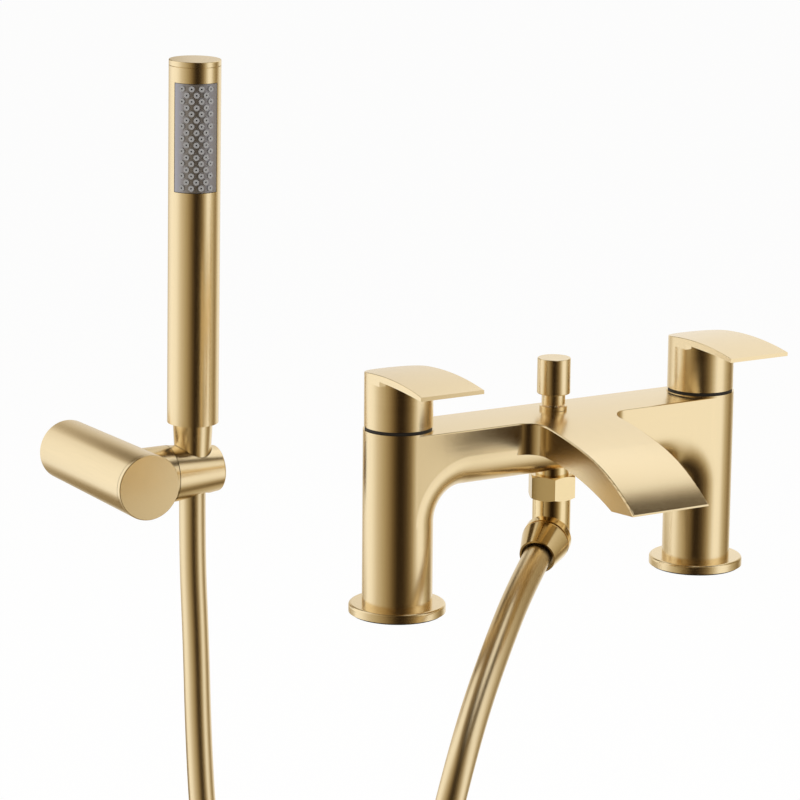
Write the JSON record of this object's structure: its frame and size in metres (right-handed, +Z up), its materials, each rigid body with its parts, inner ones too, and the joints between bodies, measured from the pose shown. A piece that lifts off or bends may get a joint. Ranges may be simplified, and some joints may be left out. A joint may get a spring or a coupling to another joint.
{
  "type": "bath shower mixer",
  "caption": "Deck mounted bath mixer with two levers, a waterfall spout and a diverter, joined by a hose to a slim handset in a tilting wall bracket.",
  "frame": {"origin": "on the deck, midway between the axes of the two inlets", "axes": "+X from the left inlet to the right one, +Y from the mixer to the wall, +Z up"},
  "size_m": [0.2812, 0.3616, 0.6306],
  "materials": {
    "brushed_brass": "satin brushed brass coating on solid brass",
    "polished_brass": "smooth, brighter brass",
    "raw_brass": "turned, uncoated brass inside the valves",
    "hose": "smooth satin gold outer skin",
    "steel": "stainless steel",
    "spray_steel": "satin steel spray plate",
    "nozzle_rubber": "light grey silicone",
    "seal_rubber": "black sealing rubber",
    "dark_ring": "dark low friction ring",
    "dark_plastic": "moulded plastic",
    "ceramic": "ground ceramic",
    "tie": "plain hose tie"
  },
  "bodies": {
    "fixed": {"mixer_body": "brushed_brass", "diverter_bush": "brushed_brass", "diverter_spring": "steel", "outlet_nipple": "polished_brass", "outlet_washer": "seal_rubber", "union_nut": "polished_brass", "outlet_elbow": "polished_brass", "check_valve": "dark_plastic", "hose_mixer_washer": "seal_rubber", "hose_mixer_ferrule": "steel", "hose_mixer_nut": "polished_brass", "hose_mixer_stretch": "hose", "hose_coil": "hose", "hose_handset_stretch": "hose", "hose_tie": "tie", "bracket_barrel": "brushed_brass", "bracket_front_cap": "brushed_brass", "wall_plate": "steel", "barrel_grub_screw": "steel", "bracket_arm": "brushed_brass", "friction_washer": "dark_plastic", "pivot_screw": "steel", "left_deck_seal": "seal_rubber", "left_base_flange": "brushed_brass", "left_seat_seal": "seal_rubber", "left_valve_body": "raw_brass", "left_fixed_disc": "ceramic", "left_trim_ring": "dark_ring", "right_deck_seal": "seal_rubber", "right_base_flange": "brushed_brass", "right_seat_seal": "seal_rubber", "right_valve_body": "raw_brass", "right_fixed_disc": "ceramic", "right_trim_ring": "dark_ring"},
    "left_lever": {"left_handle": "brushed_brass", "left_handle_screw": "steel", "left_spindle": "raw_brass", "left_moving_disc": "ceramic"},
    "right_lever": {"right_handle": "brushed_brass", "right_handle_screw": "steel", "right_spindle": "raw_brass", "right_moving_disc": "ceramic"},
    "diverter": {"diverter_knob": "brushed_brass", "diverter_rod": "steel", "diverter_valve": "dark_plastic", "diverter_seal": "seal_rubber"},
    "tilting_holder": {"holder": "brushed_brass"},
    "handset": {"handset_tube": "brushed_brass", "handset_end_cap": "brushed_brass", "spray_plate": "spray_steel", "spray_nozzles": "nozzle_rubber", "water_tube": "dark_plastic", "handset_connector": "dark_plastic", "handset_washer": "seal_rubber", "hose_handset_nut": "brushed_brass", "hose_handset_ferrule": "steel"}
  },
  "joints": [
    {"name": "left_handle_turn", "type": "hinge", "parent": "fixed", "child": "left_lever", "pos_m": [-0.09, 0, 0.094], "axis": [0, 0, 1], "range_deg": [-90, 0]},
    {"name": "right_handle_turn", "type": "hinge", "parent": "fixed", "child": "right_lever", "pos_m": [0.09, 0, 0.094], "axis": [0, 0, 1], "range_deg": [0, 90]},
    {"name": "diverter_lift", "type": "slide", "parent": "fixed", "child": "diverter", "axis": [0, 0, 1], "range_m": [0, 0.0085], "stiffness_N_per_m": 60, "springref_m": -0.02, "deforming": ["diverter_spring"]},
    {"name": "holder_tilt", "type": "hinge", "parent": "fixed", "child": "tilting_holder", "pos_m": [-0.1285, 0.1699, 0.0375], "axis": [1, 0, 0], "range_deg": [-12, 45], "deforming": ["hose_handset_stretch"]},
    {"name": "handset_lift", "type": "slide", "parent": "tilting_holder", "child": "handset", "axis": [0, -0.0241, 0.9997], "range_m": [0, 0.065], "deforming": ["hose_handset_stretch"]}
  ]
}
